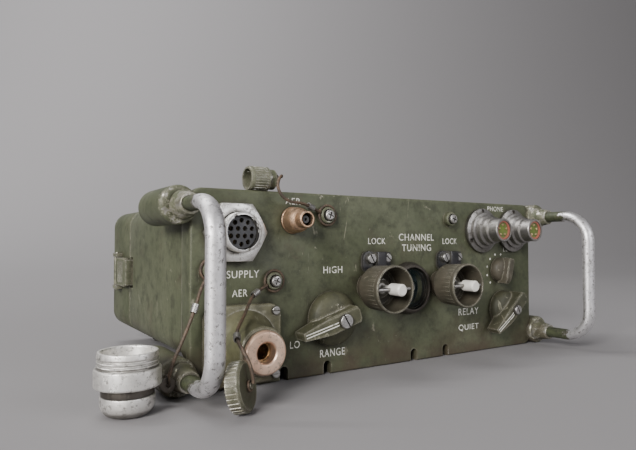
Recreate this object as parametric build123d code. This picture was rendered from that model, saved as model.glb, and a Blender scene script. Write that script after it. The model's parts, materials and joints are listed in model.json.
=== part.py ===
from build123d import *
import os
from math import atan2, cos, degrees, pi, radians, sin, tan

# Portable pack radio, millimetres. The set lies on its broad face.
# +X is to the right seen from the control panel, +Y runs from the panel to the battery, +Z is up.
# Everything is drawn from the panel's front face (Y = 0) and its lower edge (Z = 0), and save()
# then moves it so that the origin is under the middle of the set, on the surface it lies on.

# ---------------------------------------------------------------- driving dimensions
panel_width = 256.0
panel_height = 100.0
panel_plate = 4.5
panel_rim_back = 12.0
skirt_height = 12.5

case_width = 252.0
case_height = 82.0
case_corner = 11.0
case_wall = 3.0
gasket_thickness = 1.2
case_length = 108.0
battery_length = 50.0

boss_radius = 9.5
boss_x = 134.3
boss_z = (91.0, 9.5)
boss_front = -3.0
boss_back = 38.0

handle_x = 132.3
handle_reach = 43.0
handle_half_wide = 4.5
handle_half_thick = 3.5
handle_bend = 17.0
handle_end = 7.0

running_gap = 0.08
shaft_radius = 3.0

power_at = (-105.3, 78.0)
whip_at = (-100.6, 21.7)
whip_bore = 4.0
whip_depth = 20.0
whip_face = 28.0
coax_at = (-71.4, 84.9)
audio_at = ((76.3, 81.0), (108.2, 81.3))
band_at = (-47.0, 31.0)
band_angle = 197.0
tuning_at = {"left": (-21.0, 47.3), "right": (36.0, 47.0)}
window_at = (11.0, 45.0)
volume_at = (93.8, 54.0)
volume_angle = 256.0
function_at = (96.0, 27.5)
function_angle = 221.6
preset_at = {"left": (-15.5, 62.0), "right": (44.2, 61.8)}
captive_at = {"near_power": (-118.0, 59.6), "near_whip": (-83.3, 53.0),
              "near_coax": (-50.0, 88.0), "near_audio": (45.9, 88.0)}

captive_shank = 1.6
cam_shaft = 1.5
cam_offset = (-5.4, 1.6)

latch_z = 53.0
latch_half_height = 9.5
latch_hinge_out = 2.6
keeper_depth = 2.2
keeper_length = 6.5

connector_at = (0.0, 53.5)
connector_radius = 11.0
power_body_radius = 11.0

chassis_front = 28.0
chassis_x = 116.0
chassis_low = 17.0
chassis_high = 90.5
sheet = 1.6
board_y = (66.0, 67.6)

gear_module = 1.0
pinion_teeth = 16
capacitor_teeth = 32
capacitor_shaft_radius = 2.5

power_cap_at = (-159.6, -13.0)
eyelet_at = (-141.5, -10.0, 9.1)
whip_cap_face = (-116.9, -42.0, 12.1)
whip_cap_axis = (0.70, -0.69, 0.19)
coax_cap_at = (-87.5, 4.6)
coax_cap_radius = 6.5
wire = 1.6

# ---------------------------------------------------------------- worked out
case_front = panel_rim_back + gasket_thickness
case_back = case_front + case_length
battery_front = case_back + gasket_thickness
battery_back = battery_front + battery_length
case_mid_z = skirt_height + case_height / 2
inner_width = case_width - 2 * case_wall
inner_height = case_height - 2 * case_wall
inner_corner = case_corner - case_wall
origin_y = (battery_back - handle_reach - handle_half_thick) / 2
latch_front = battery_front - 4.0
latch_hinge_y = battery_front + 25.0
chassis_back = case_back - 10.0
gear_y = (chassis_front + 5, chassis_front + 8)
gear_centres = gear_module * (pinion_teeth + capacitor_teeth) / 2
capacitor_at = (tuning_at["right"][0] - gear_centres, tuning_at["right"][1])


# ---------------------------------------------------------------- small helpers
def save(name, *solids):
    """Move the node's solids to the shared origin and write them to its own file."""
    moved = [Pos(0, -origin_y, 0) * solid for solid in solids]
    shape = moved[0] if len(moved) == 1 else Compound(children=moved)
    export_step(shape, f"parts/{name}.step")


def box(x0, x1, y0, y1, z0, z1):
    """A block between two opposite corners."""
    return Pos((x0 + x1) / 2, (y0 + y1) / 2, (z0 + z1) / 2) * Box(x1 - x0, y1 - y0, z1 - z0)


def rod_y(radius, y0, y1, at):
    """A round rod along Y at a place on the panel."""
    return Pos(at[0], (y0 + y1) / 2, at[1]) * Rot(90, 0, 0) * Cylinder(radius, y1 - y0)


def rod_z(radius, x, y, z0, z1):
    """A round rod along Z."""
    return Pos(x, y, (z0 + z1) / 2) * Cylinder(radius, z1 - z0)


def ring_y(outer, inner, y0, y1, at):
    """A round ring with its axis along Y."""
    return rod_y(outer, y0, y1, at) - rod_y(inner, y0 - 1, y1 + 1, at)


def prism_y(outline, y0, y1, at=(0, 0)):
    """An outline drawn in X and Z, extruded along Y."""
    return extrude(Pos(at[0], y1, at[1]) * Rot(90, 0, 0) * outline, amount=y1 - y0)


def lathe(profile):
    """A solid of revolution about Z from (radius, height) points."""
    face = make_face(Polyline(*[(r, 0, h) for r, h in profile], close=True))
    return revolve(face, Axis.Z, 360)


def turned(profile, at):
    """A lathe shape standing on the panel: heights are measured out from its front face."""
    return Pos(at[0], 0, at[1]) * Rot(90, 0, 0) * lathe(profile)


def around(count, radius, start=0.0):
    """Evenly spaced (x, z) offsets on a circle."""
    turns = [radians(start + 360 * i / count) for i in range(count)]
    return [(radius * cos(a), radius * sin(a)) for a in turns]


def offset(at, by):
    """A place on the panel moved by an offset."""
    return (at[0] + by[0], at[1] + by[1])


# ---------------------------------------------------------------- panel, cases and gaskets
def front_panel():
    """Cast panel: plate, rear rim, hanging skirt with slots, and round seats for the handle sockets."""
    plate = prism_y(RectangleRounded(panel_width, panel_height, 6), 0, panel_plate,
                    (0, panel_height / 2))
    plate = fillet(plate.edges().group_by(Axis.Y)[0], 1.2)
    rim_height = panel_height - skirt_height
    rim = prism_y(RectangleRounded(panel_width, rim_height, 8), panel_plate - 1, panel_rim_back,
                  (0, skirt_height + rim_height / 2))
    pocket = prism_y(RectangleRounded(inner_width, inner_height, inner_corner),
                     panel_plate, panel_rim_back + 1, (0, case_mid_z))
    body = plate + rim - pocket
    for side in (-1, 1):
        for z in boss_z:
            body -= rod_y(boss_radius + 0.03, -1, panel_rim_back + 1, (side * boss_x, z))
    slot_width, slot_top = 5.0, 5.0
    for x in (-76.3, -48.7, 15.3, 42.4):
        body -= box(x - slot_width / 2, x + slot_width / 2, -1, panel_plate + 1, -1, slot_top)
        body -= rod_y(slot_width / 2, -1, panel_plate + 1, (x, slot_top))
    through = -1, panel_plate + 1
    for at, radius in ((power_at, 10.3), (coax_at, 4.6), (whip_at, 6.3), (window_at, 12.0)):
        body -= rod_y(radius, *through, at)
    for at in audio_at:
        body -= rod_y(8.3, *through, at)
    for at in (band_at, *tuning_at.values(), volume_at, function_at):
        body -= rod_y(shaft_radius + running_gap, *through, at)
    for at in captive_at.values():
        body += captive_collar(at)
        body -= rod_y(captive_shank + running_gap, -3, panel_plate + 1, at)
    for at in preset_at.values():
        body -= rod_y(cam_shaft + running_gap, *through, offset(at, cam_offset))
    return body


def case_shell(y0, y1, rear_wall, rear_fillet):
    """A drawn shell, open at the front, with a closed back."""
    shell = prism_y(RectangleRounded(case_width, case_height, case_corner), y0, y1, (0, case_mid_z))
    if rear_fillet:
        shell = fillet(shell.edges().group_by(Axis.Y)[-1], rear_fillet)
    return shell - prism_y(RectangleRounded(inner_width, inner_height, inner_corner),
                           y0 - 1, y1 - rear_wall, (0, case_mid_z))


def transceiver_case():
    """Main case, with the battery connector's opening and a keeper pocket on each side."""
    shell = case_shell(case_front, case_back, case_wall, 0)
    shell -= rod_y(connector_radius + 0.3, case_back - case_wall - 1, case_back + 1, connector_at)
    for side in (-1, 1):
        shell -= keeper_pocket(side)
    return shell


def keeper_pocket(side):
    """Recess at the main case's rear edge, open to the back, for a latch's tongue."""
    half = case_width / 2
    x0, x1 = sorted((side * (half - keeper_depth), side * (half + 1)))
    return box(x0, x1, case_back - keeper_length, battery_front + 0.1,
               latch_z - latch_half_height - 0.5, latch_z + latch_half_height + 0.5)


def case_gasket(y0, y1):
    """Flat seal that follows the case's edge."""
    outer = prism_y(RectangleRounded(case_width - 0.8, case_height - 0.8, case_corner - 0.4),
                    y0, y1, (0, case_mid_z))
    inner = prism_y(RectangleRounded(inner_width + 1, inner_height + 1, inner_corner + 0.5),
                    y0 - 1, y1 + 1, (0, case_mid_z))
    return outer - inner


# ---------------------------------------------------------------- handles
def handle(side):
    """Bent oval rod, its ends let into the sockets."""
    x = side * handle_x
    top, low = boss_z
    path = FilletPolyline((x, handle_end, top), (x, -handle_reach, top), (x, -handle_reach, low),
                          (x, handle_end, low), radius=handle_bend)
    section = Plane(origin=(x, handle_end, top), x_dir=(1, 0, 0), z_dir=(0, -1, 0))
    return sweep(section * Ellipse(handle_half_wide, handle_half_thick), path=path)


def handle_socket(side, z):
    """Round socket in the panel's corner, with rounded ends and a hole for the rod."""
    sleeve = rod_y(boss_radius, boss_front, boss_back, (side * boss_x, z))
    sleeve = fillet(sleeve.edges().group_by(Axis.Y)[-1], 4.5)
    sleeve = fillet(sleeve.edges().group_by(Axis.Y)[0], 1.8)
    return sleeve - rod_y(handle_half_wide + 0.5, boss_front - 1, handle_end + 1, (side * handle_x, z))


def handle_collar(side, z):
    """Tapered collar welded round the rod on a socket's face."""
    at = (side * handle_x, z)
    face = -boss_front
    collar = turned([(0, face), (7.0, face), (7.0, face + 1.6), (6.3, face + 3.2), (5.6, face + 7.5),
                     (5.0, face + 10.5), (0, face + 10.5)], at)
    opening = Ellipse(handle_half_wide + 0.05, handle_half_thick + 0.05)
    return collar - prism_y(opening, -face - 11, boss_front + 1, at)


# ---------------------------------------------------------------- connectors
def power_connector():
    """Hex nut, keyed shell, insert with fourteen holes, and the contacts in it."""
    across_flats = 28.8
    nut = prism_y(RegularPolygon(across_flats / 2, 6, major_radius=False), -6, 0, power_at)
    nut &= turned([(0, 0), (16.6, 0), (16.6, 4.6), (14.2, 6), (0, 6)], power_at)
    nut -= rod_y(10.3, -7, 1, power_at)
    pitch = 1.5
    profile = [(9.0, 12.0)]
    for i in range(4):
        top = 11.5 - i * pitch
        profile += [(10.0, top), (9.6, top - 0.5), (9.6, top - 0.9)]
    profile += [(10.0, 5.2), (10.0, -panel_plate - 0.2), (13.0, -panel_plate - 0.2), (13.0, -8.0),
                (10.0, -8.0), (10.0, -13.0), (0, -13.0), (0, -12.0), (8.6, -12.0), (8.6, 12.0)]
    shell = turned(profile, power_at)
    key_width = 2.0
    for angle in (118, 50, 24, 5, -72):
        place = Pos(power_at[0], -12, power_at[1]) * Rot(0, -angle, 0)
        shell -= place * Pos(8.9, 0, 0) * Box(1.6, 3, key_width)
    contact_radius = 1.15
    insert = rod_y(8.4, -9.5, 11.5, power_at)
    insert = chamfer(insert.edges().group_by(Axis.Y)[0], 0.4)
    places = around(10, 5.9, 18) + around(4, 2.6, 45)
    contacts = []
    for by in places:
        insert -= rod_y(contact_radius + 0.1, -10, 12, offset(power_at, by))
        contacts.append(ring_y(contact_radius, 0.7, -6.5, 11.5, offset(power_at, by)))
    return nut, shell, insert, contacts


def whip_connector():
    """Antenna base: painted housing, its ring and rear bushing, contact tube and fixing screws."""
    neck = whip_face - 3.4
    housing = turned([(6.5, 0), (17.5, 0), (17.5, 4.0), (15.8, 6.5), (13.6, 9.0), (12.5, 12.0), (12.0, 16.0),
                      (11.8, neck - 0.6), (11.2, neck), (6.5, neck)], whip_at)
    foot = prism_y(RectangleRounded(42, 40, 7), -3.5, 0, whip_at)
    foot = fillet(foot.edges().group_by(Axis.Y)[0], 1.2)
    foot -= rod_y(6.5, -4, 1, whip_at)
    housing += foot
    screws = []
    for by in ((17.4, 16.2), (-17.4, 16.2), (17.4, -16.2), (-17.4, -16.2)):
        at = offset(whip_at, by)
        housing -= rod_y(1.15, -4, 1, at)
        head = rod_y(2.3, -4.9, -3.5, at)
        head = fillet(head.edges().group_by(Axis.Y)[0], 0.5)
        slot = box(at[0] - 3, at[0] + 3, -6, -4.4, at[1] - 0.3, at[1] + 0.3)
        screws.append(head + rod_y(1.0, -3.6, -0.2, at) - slot)
    mouth = whip_face - 6.5
    ring = turned([(4.8, mouth + 0.1), (6.2, mouth + 0.1), (6.2, neck), (10.1, neck), (10.5, neck + 0.5),
                   (10.5, whip_face - 0.9), (9.6, whip_face), (5.6, whip_face), (4.8, whip_face - 0.8)], whip_at)
    bushing = ring_y(6.2, whip_bore + 1.3, -0.5, 8, whip_at)
    contact = turned([(0, -12), (whip_bore + 1.2, -12), (whip_bore + 1.2, mouth),
                      (whip_bore, mouth), (whip_bore, mouth - whip_depth), (0, mouth - whip_depth)], whip_at)
    return housing, (ring, bushing), contact, screws


def coax_connector():
    """Coaxial socket: domed base, plain barrel, insulator and centre contact."""
    base = turned([(4.15, 0), (7.2, 0), (7.2, 1.2), (6.7, 1.6), (6.7, 6.4), (6.3, 8.2), (5.4, 9.8),
                   (4.15, 10.6)], coax_at)
    barrel = turned([(3.3, 16), (4.0, 16), (4.3, 15.7), (4.3, 10.9), (4.1, 10.7), (4.1, -10), (3.3, -10)],
                    coax_at)
    insulator = turned([(0.9, 14.2), (1.9, 14.2), (1.9, 10), (3.2, 10), (3.2, -10), (0.9, -10)], coax_at)
    contact = turned([(0, 12), (0.8, 12), (0.8, -13), (0, -13)], coax_at)
    return base, barrel, insulator, contact


def audio_connector(at):
    """Stepped audio socket: barrel, seal ring, five-pin insert and its contacts."""
    steps = [(6.2, 20.0), (7.3, 20.0), (7.6, 19.6), (7.6, 13.4), (8.6, 12.6), (8.6, 9.2), (10.2, 8.4),
             (10.2, 5.2), (12.0, 4.6), (12.0, 2.8), (14.8, 2.2), (14.8, 0), (8.0, 0), (8.0, -9), (6.2, -9)]
    barrel = turned(steps, at)
    for by in around(3, 13.2, 90):
        x, z = offset(at, by)
        barrel -= box(x - 1.2, x + 1.2, -3, -1.2, z - 1.2, z + 1.2)
    seal = ring_y(6.1, 5.2, -19.4, -18.4, at)
    insert = rod_y(6.1, -18.4, 8.0, at)
    pins = []
    for by in around(5, 3.4, 90):
        insert -= rod_y(0.95, -19, 9, offset(at, by))
        pin = rod_y(0.85, -19.2, 10.5, offset(at, by))
        pins.append(fillet(pin.edges().group_by(Axis.Y)[0], 0.5))
    return barrel, seal, insert, pins


# ---------------------------------------------------------------- dial window
def dial_window():
    """Cone bezel, flat lens and the mask plate with two number openings."""
    bezel = turned([(11.4, 0), (16.0, 0), (16.0, 1.2), (14.6, 4.6), (13.6, 5.2), (12.7, 5.2), (12.7, 2.4),
                    (11.4, 2.4)], window_at)
    lens = turned([(0, 2.4), (12.5, 2.4), (12.5, 3.8), (11.8, 4.3), (0, 4.5)], window_at)
    mask = rod_y(14.5, panel_plate, panel_plate + 0.8, window_at)
    for x in (window_at[0] - 9.0, window_at[0] + 9.2):
        mask -= box(x - 4.2, x + 4.2, panel_plate - 1, panel_plate + 2, window_at[1] - 3.4, window_at[1] + 3.4)
    return bezel, lens, mask


# ---------------------------------------------------------------- knobs
def pointer_knob(at, height, skirt, dome, back, tip, width, angle):
    """Domed skirt under a bar: the bar's long end is the pointer, at an angle from +X."""
    body = turned([(0, 0.6), (skirt, 0.6), (skirt, 0.45 * dome), (skirt * 0.93, 0.68 * dome),
                   (skirt * 0.76, 0.86 * dome), (skirt * 0.45, 0.97 * dome), (0, dome)], at)
    half = width / 2
    bar_plan = make_face(Polyline((-back + 1.5, -half), (skirt * 0.5, -half), (tip, -half * 0.45),
                                  (tip, half * 0.45), (skirt * 0.5, half), (-back + 1.5, half),
                                  (-back, half * 0.6), (-back, -half * 0.6), close=True))
    low = 0.35 * dome
    bar = extrude(Pos(0, 0, low) * bar_plan, amount=height - low)
    bar = chamfer(bar.edges().group_by(Axis.Z)[-1], 0.6)
    slope = degrees(atan2(height * 0.16, tip - 6))
    bar -= Pos(6, 0, height) * Rot(0, slope, 0) * Pos(30, 0, 15) * Box(60, 60, 30)
    bar = Pos(at[0], 0, at[1]) * Rot(90, 0, 0) * Rot(0, 0, angle) * bar
    return body + bar


def screwed_knob(at, height, **shape):
    """Pointer knob with a blind bore for its spindle and a hole for its screw."""
    body = pointer_knob(at, height=height, **shape)
    body -= rod_y(shaft_radius + 0.05, -height + 6, 1, at)
    return body - rod_y(1.6, -height - 1, 1, at)


def knob_screw(at, height, head):
    """Slotted screw on top of a pointer knob."""
    cap = rod_y(head, -height - 2.0, -height, at)
    cap = fillet(cap.edges().group_by(Axis.Y)[0], 0.6)
    cap += rod_y(1.5, -height - 0.5, -height + 5.5, at)
    slot = Pos(at[0], -height - 1.8, at[1]) * Rot(0, 58, 0) * Box(2 * head + 1, 1.8, 0.8)
    return cap - slot


def tuning_knob(at):
    """Cup-shaped knob on a narrow hub, with a ribbed rim."""
    cup = turned([(shaft_radius + 0.05, 0.8), (8.0, 0.8), (8.0, 7.5), (11.6, 8.2), (12.5, 9.4),
                  (12.9, 22.5), (13.3, 23.0), (13.3, 25.4), (12.9, 26.0), (12.3, 26.0), (11.9, 25.2),
                  (10.4, 13.2), (9.2, 12.0), (5.6, 12.0), (5.2, 14.2), (shaft_radius + 0.05, 14.2)], at)
    ribs = 30
    for by in around(ribs, 13.35):
        cup -= rod_y(0.75, -22.2, -9.0, offset(at, by))
    return cup


def tuning_post(at, back):
    """Shaft with a slim neck and a round finger post, drilled for the bar that crosses the bowl."""
    bar_radius, bar_height, bar_length = 1.0, 24.2, 22.6
    post = turned([(0, 31.6), (2.6, 31.6), (3.3, 30.8), (3.3, 22.6), (1.9, 22.0), (1.9, 14.6),
                   (shaft_radius, 14.0), (shaft_radius, -back), (0, -back)], at)
    place = Pos(at[0], -bar_height, at[1]) * Rot(0, 90, 0)
    bar = place * Cylinder(bar_radius, bar_length)
    return post - place * Cylinder(bar_radius + 0.01, bar_length + 8), bar


def volume_knob():
    """Small pointer knob, cast on its shaft."""
    knob = pointer_knob(volume_at, height=11.0, skirt=8.4, dome=7.4, back=8.2, tip=9.4, width=5.4,
                        angle=volume_angle)
    return knob + rod_y(shaft_radius, -3, chassis_front + 8, volume_at)


# ---------------------------------------------------------------- preset locks and captive screws
def preset_lock(at):
    """Black clamp block on a base plate, with a fixed screw and a turning cam screw."""
    block = box(at[0] - 2.0, at[0] + 4.4, -6.6, 0, at[1] - 4.2, at[1] + 5.5)
    block = chamfer(block.edges().group_by(Axis.Y)[0], 0.5)
    block += box(at[0] - 2.0, at[0] + 10.2, -2.7, 0, at[1] - 4.2, at[1] + 5.2)
    block += prism_y(RectangleRounded(9.2, 12.6, 4.4), -2.7, 0, (at[0] + cam_offset[0], at[1] - 0.4))
    block -= rod_y(cam_shaft + running_gap, -6, 1, offset(at, cam_offset))
    screw_at = offset(at, (7.4, 1.9))
    block -= rod_y(1.4, -6, 1, screw_at)
    screw = rod_y(2.6, -4.4, -2.7, screw_at)
    screw = fillet(screw.edges().group_by(Axis.Y)[0], 0.5) + rod_y(1.3, -2.9, -0.2, screw_at)
    screw -= Pos(screw_at[0], -4.4, screw_at[1]) * Rot(0, 40, 0) * Box(8, 1.4, 0.7)
    cam_at = offset(at, cam_offset)
    cam = rod_y(2.9, -5.6, -2.9, cam_at)
    cam = fillet(cam.edges().group_by(Axis.Y)[0], 0.5) + rod_y(cam_shaft, -3, panel_plate + 0.8, cam_at)
    cam -= Pos(cam_at[0], -5.6, cam_at[1]) * Rot(0, 60, 0) * Box(8, 1.4, 0.7)
    return block, screw, cam


def captive_screw(at):
    """Cross-recessed fastener with a thin shank that reaches the chassis."""
    head = rod_y(2.9, -5.6, -2.3, at)
    head = fillet(head.edges().group_by(Axis.Y)[0], 0.9)
    for turn in (20, 110):
        head -= Pos(at[0], -5.6, at[1]) * Rot(0, turn, 0) * Box(3.8, 2.2, 0.7)
    return head + rod_y(captive_shank, -2.4, 20, at)


def captive_collar(at):
    """Cup round a captive screw's head, cast with the panel."""
    return turned([(0, -1.0), (4.6, -1.0), (4.6, 3.0), (4.1, 3.6), (3.4, 3.6), (3.4, 2.0), (0, 2.0)], at)


# ---------------------------------------------------------------- latches and rear feet
def latch(side):
    """Flat draw latch with a tongue that lies in the main case's keeper pocket."""
    half = case_width / 2
    z0, z1 = latch_z - latch_half_height, latch_z + latch_half_height
    x0, x1 = sorted((side * (half + 0.5), side * (half + 3.8)))
    plate = box(x0, x1, battery_front + 1.5, latch_hinge_y + 1.0, z0, z1)
    t0, t1 = sorted((side * (half - 1.6), side * (half + 3.8)))
    tongue = box(t0, t1, latch_front, case_back - 1.0, z0 + 1, z1 - 1)
    b0, b1 = sorted((side * (half + 2.0), side * (half + 3.8)))
    bridge = box(b0, b1, case_back - 1.5, battery_front + 2, z0 + 1, z1 - 1)
    body = plate + tongue + bridge
    x_pin = side * (half + latch_hinge_out)
    knuckle = rod_z(2.1, x_pin, latch_hinge_y, z0, z1)
    body += knuckle
    for i in range(5):
        y = battery_front + 5.0 + 3.0 * i
        g0, g1 = sorted((side * (half + 3.3), side * (half + 4.5)))
        body -= box(g0, g1, y, y + 1.2, z0 + 2.5, z1 - 2.5)
    return body - rod_z(1.2 + running_gap, x_pin, latch_hinge_y, z0 - 1, z1 + 1)


def latch_bracket(side):
    """Two ears on the battery case that carry the latch's pin."""
    half = case_width / 2
    x_pin = side * (half + latch_hinge_out)
    x0, x1 = sorted((side * half, side * (half + 4.4)))
    ears = []
    for z0, z1 in ((latch_z - latch_half_height - 3.0, latch_z - latch_half_height - 0.4),
                   (latch_z + latch_half_height + 0.4, latch_z + latch_half_height + 3.0)):
        ear = box(x0, x1, latch_hinge_y - 5, latch_hinge_y + 5, z0, z1)
        ears.append(ear - rod_z(1.21, x_pin, latch_hinge_y, z0 - 1, z1 + 1))
    pin = rod_z(1.2, x_pin, latch_hinge_y, latch_z - latch_half_height - 3.6, latch_z + latch_half_height + 3.6)
    return ears, pin


def rear_foot(x):
    """Rubber foot under the battery case, as high as the panel's skirt."""
    foot = rod_z(8.0, x, battery_back - 16, 0, skirt_height)
    return chamfer(foot.edges().group_by(Axis.Z)[0], 1.0)


# ---------------------------------------------------------------- inside the main case
def chassis():
    """Folded chassis: front plate with bushes, floor, rear plate and standoffs for the screws."""
    body = box(-chassis_x, chassis_x, chassis_front, chassis_front + sheet, chassis_low, chassis_high)
    body += box(-chassis_x, chassis_x, chassis_front, chassis_back, chassis_low, chassis_low + sheet)
    body += box(-chassis_x, chassis_x, chassis_back - sheet, chassis_back, chassis_low, chassis_high - 6)
    for at in captive_at.values():
        body += box(at[0] - 4.0, at[0] + 3.0, chassis_front, chassis_front + sheet, at[1] - 3.0, at[1] + 2.4)
        body += rod_y(3.0, panel_plate + 3, chassis_front + 0.2, at)
        body -= rod_y(captive_shank + 0.1, panel_plate, chassis_front - 6, at)
    for at in (band_at, *tuning_at.values(), volume_at, function_at):
        body -= rod_y(shaft_radius + running_gap, chassis_front - 1, chassis_front + sheet + 1, at)
    body -= rod_y(power_body_radius, chassis_front - 1, chassis_front + sheet + 1, power_at)
    return body


def rotary_switch(at, wafers, radius):
    """Wafer switch on the chassis plate: an index housing and its wafers on two pillars."""
    start = chassis_front + sheet
    body = rod_y(radius, start, start + 6, at)
    for i in range(wafers):
        y = start + 10 + 7 * i
        body += rod_y(radius - 1, y, y + 1.6, at)
    length = 10 + 7 * (wafers - 1) + 1.6
    for side in (-1, 1):
        body += rod_y(1.3, start, start + length, offset(at, (side * (radius - 2.2), 0)))
    return body - rod_y(shaft_radius + running_gap, start - 1, start + length + 1, at)


def level_control(at):
    """Round variable resistor with a blind bore for its shaft."""
    start = chassis_front + sheet
    body = rod_y(8.5, start, start + 11, at)
    body = chamfer(body.edges().group_by(Axis.Y)[-1], 1)
    body += box(at[0] - 4.5, at[0] + 4.5, start + 3, start + 7, at[1] + 7, at[1] + 13)
    return body - rod_y(shaft_radius + running_gap, start - 1, start + 8, at)


def gear(teeth, module, y0, y1, at, bore, phase=0.0):
    """Spur gear with narrow straight-flanked teeth, thinned for plenty of backlash."""
    pitch_radius = teeth * module / 2
    root, tip = pitch_radius - 1.25 * module, pitch_radius + 0.85 * module
    step = 360 / teeth
    points = []
    for i in range(teeth):
        centre = phase + i * step
        for radius, spread in ((root, -0.30), (tip, -0.11), (tip, 0.11), (root, 0.30)):
            angle = radians(centre + spread * step)
            points.append((radius * cos(angle), radius * sin(angle)))
    wheel = prism_y(make_face(Polyline(*points, close=True)), y0, y1, at)
    return wheel - rod_y(bore, y0 - 1, y1 + 1, at)


def capacitor_rotor():
    """Half-round moving plates on the variable capacitor's shaft."""
    x, z = capacitor_at
    start = gear_y[1] + 4
    body = rod_y(capacitor_shaft_radius, chassis_front + sheet + 1.0, start + 26, capacitor_at)
    for i in range(6):
        y = start + 3 + 3.4 * i
        plate = rod_y(10.5, y, y + 0.8, capacitor_at)
        body += plate & box(x - 12, x + 12, y - 1, y + 2, z, z + 12)
    return body


def capacitor_frame():
    """Variable capacitor's cradle: two end plates on a base, with the fixed plates' comb."""
    start = gear_y[1] + 1.6
    end = gear_y[1] + 27
    x, z = capacitor_at
    floor_z = chassis_low + sheet
    body = box(x + 11.2, x + 14, start, end + 1.6, floor_z, z + 10)
    for y in (start, end):
        body += box(x - 14, x + 14, y, y + 1.6, floor_z, z + 10)
        body -= rod_y(capacitor_shaft_radius + running_gap, y - 1, y + 2.6, capacitor_at)
    for i in range(5):
        y = gear_y[1] + 4 + 3 + 3.4 * i + 1.7
        body += box(x + 4.5, x + 12, y, y + 0.8, floor_z + 0.2, z - 2.2)
    return body


def circuit_boards():
    """Two boards that stand on the chassis floor and its rear plate."""
    floor_z = chassis_low + sheet
    return [box(x0, x1, *board_y, floor_z, 86) for x0, x1 in ((-100, -8), (64, 108))]


def module_cans():
    """Screening cans soldered to the boards."""
    cans = []
    for x0, x1, z0, z1, depth in ((-97, -76, 22, 50, 24), (-73, -48, 22, 44, 20), (-45, -12, 22, 50, 28),
                                  (-97, -62, 54, 83, 16), (-58, -38, 54, 83, 22), (-34, -12, 54, 83, 18),
                                  (67, 84, 22, 52, 24), (88, 105, 22, 52, 18), (67, 105, 56, 83, 26)):
        can = box(x0, x1, board_y[1], board_y[1] + depth, z0, z1)
        cans.append(fillet(can.edges().group_by(Axis.Y)[-1], 1.5))
    return cans


def battery_connector():
    """Power socket on the main case's rear wall, with four pins into the battery."""
    body = rod_y(connector_radius, chassis_back, case_back, connector_at)
    pins = []
    for by in around(4, 6.0, 45):
        pins.append(rod_y(1.4, case_back, battery_front + 8, offset(connector_at, by)))
    return body, pins


def battery_pack():
    """Dry battery block with four blind sockets."""
    clearance = 3.0
    block = prism_y(RectangleRounded(inner_width - 2 * clearance, inner_height - 2 * clearance, 5),
                    battery_front + 3, battery_back - case_wall, (0, case_mid_z))
    block = fillet(block.edges().group_by(Axis.Y)[0], 1.5)
    for by in around(4, 6.0, 45):
        block -= rod_y(2.0, battery_front, battery_front + 12, offset(connector_at, by))
    return block


# ---------------------------------------------------------------- caps on lanyards
def power_cap():
    """Turned metal cap that stands mouth up: round bottom, groove, band and threaded mouth."""
    groove, band, thread, top = (8.7, 12.2), (12.2, 20.2), 20.2, 27.0
    profile = [(0, 0), (7.6, 0), (9.2, 0.8), (10.7, 2.6), (11.4, 5.0), (11.4, groove[0] - 0.4),
               (11.0, groove[0]), (10.2, groove[0]), (10.2, groove[1]), (13.4, band[0]), (14.0, band[0] + 0.6),
               (14.0, band[1] - 0.6), (13.4, band[1])]
    for i in range(3):
        z = thread + 1.7 * i
        profile += [(12.2, z), (12.2, z + 0.6), (12.8, z + 0.9), (12.8, z + 1.4)]
    profile += [(12.5, top), (11.4, top), (11.0, top - 0.6), (11.0, 13.6), (9.4, 12.9), (9.4, 8.8), (0, 8.8)]
    return Pos(power_cap_at[0], power_cap_at[1], 0) * lathe(profile)


def power_cap_ring():
    """Flat swivel ring in the cap's groove, with an upright tab for the lanyard's eye."""
    x, y = power_cap_at
    ring = rod_z(11.0, x, y, 8.9, 12.0) - rod_z(10.3, x, y, 8, 13)
    ex, ey, ez = eyelet_at
    strap = box(x + 10.7, ex, ey - 1.0, ey + 0.4, ez - 0.1, ez + 1.5)
    tab = rod_y(3.3, ey - 1.0, ey + 0.4, (ex, ez))
    return ring + strap + tab - rod_y(1.1, ey - 2, ey + 1, (ex, ez))


def whip_cap():
    """Knurled cap for the antenna base, hung on edge from the middle of its closed face."""
    radius, depth = 11.0, 6.2
    cap = lathe([(0, 0), (radius - 1.2, 0), (radius, -1.0), (radius, -depth), (9.3, -depth), (9.3, -2.0),
                 (0, -2.0)])
    for x, y in around(32, radius + 0.25):
        cap -= Pos(x, y, -1.4 - depth / 2) * Cylinder(0.55, depth)
    stud = Pos(0, 0, 0.6) * Cylinder(1.5, 2.0)
    return Plane(origin=whip_cap_face, z_dir=whip_cap_axis) * (cap + stud)


def coax_cap():
    """Small turned cap that lies on the panel's top edge, mouth to the left."""
    cap = lathe([(0, 9.0), (2.0, 9.0), (2.0, 7.4), (4.6, 7.4), (5.4, 6.6), (5.4, 3.4), (6.5, 2.6), (6.5, -7.4),
                 (6.1, -8.4), (5.1, -8.4), (5.1, 1.0), (0, 1.0)])
    for x, y in around(26, 6.65):
        cap -= Pos(x, y, -2.2) * Cylinder(0.42, 7.6)
    place = Plane(origin=(coax_cap_at[0], coax_cap_at[1], panel_height + coax_cap_radius), z_dir=(1, 0, 0))
    return place * cap


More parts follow.
